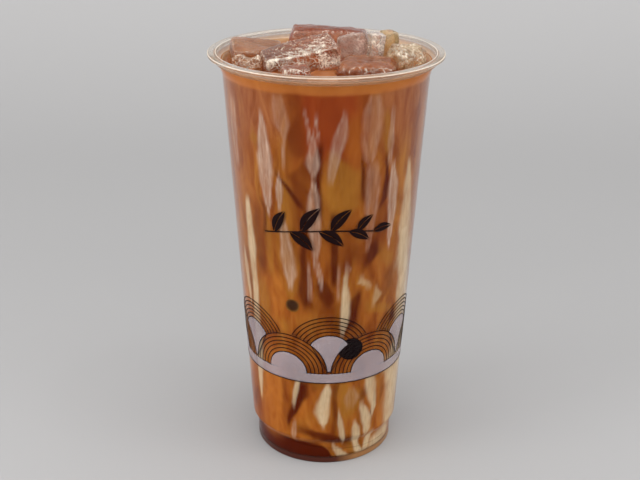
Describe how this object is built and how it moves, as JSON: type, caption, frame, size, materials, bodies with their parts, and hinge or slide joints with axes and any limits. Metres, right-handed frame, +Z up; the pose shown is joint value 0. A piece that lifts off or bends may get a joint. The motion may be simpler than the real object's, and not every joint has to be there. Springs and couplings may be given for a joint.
{
  "type": "bubble tea",
  "caption": "Tall clear plastic takeaway cup filled with iced brown sugar milk tea, dark syrup at the foot, tapioca pearls at the wall and ice standing out of the top.",
  "frame": {"origin": "centre of the cup's foot, on the surface it stands on", "axes": "+Z up along the cup's axis, -Y towards the front, the side the picture shows"},
  "size_m": [0.095, 0.095, 0.1816],
  "materials": {
    "clear_plastic": "clear, glossy, thin moulded plastic with a printed band",
    "milk_tea": "orange-brown milk tea with cream and syrup streaks",
    "syrup": "dark brown sugar syrup",
    "ice": "clear ice tinted by the tea, frosted in places",
    "tapioca": "wet black tapioca"
  },
  "bodies": {
    "root": {"cup": "clear_plastic", "drink": "milk_tea", "syrup": "syrup", "pearl_front": "tapioca", "pearl_left": "tapioca", "ice_back": "ice", "ice_long": "ice", "ice_left": "ice", "ice_middle": "ice", "ice_low": "ice", "ice_upright": "ice", "ice_pale": "ice", "ice_front": "ice", "ice_crushed": "ice", "ice_chips": "ice"}
  },
  "joints": []
}
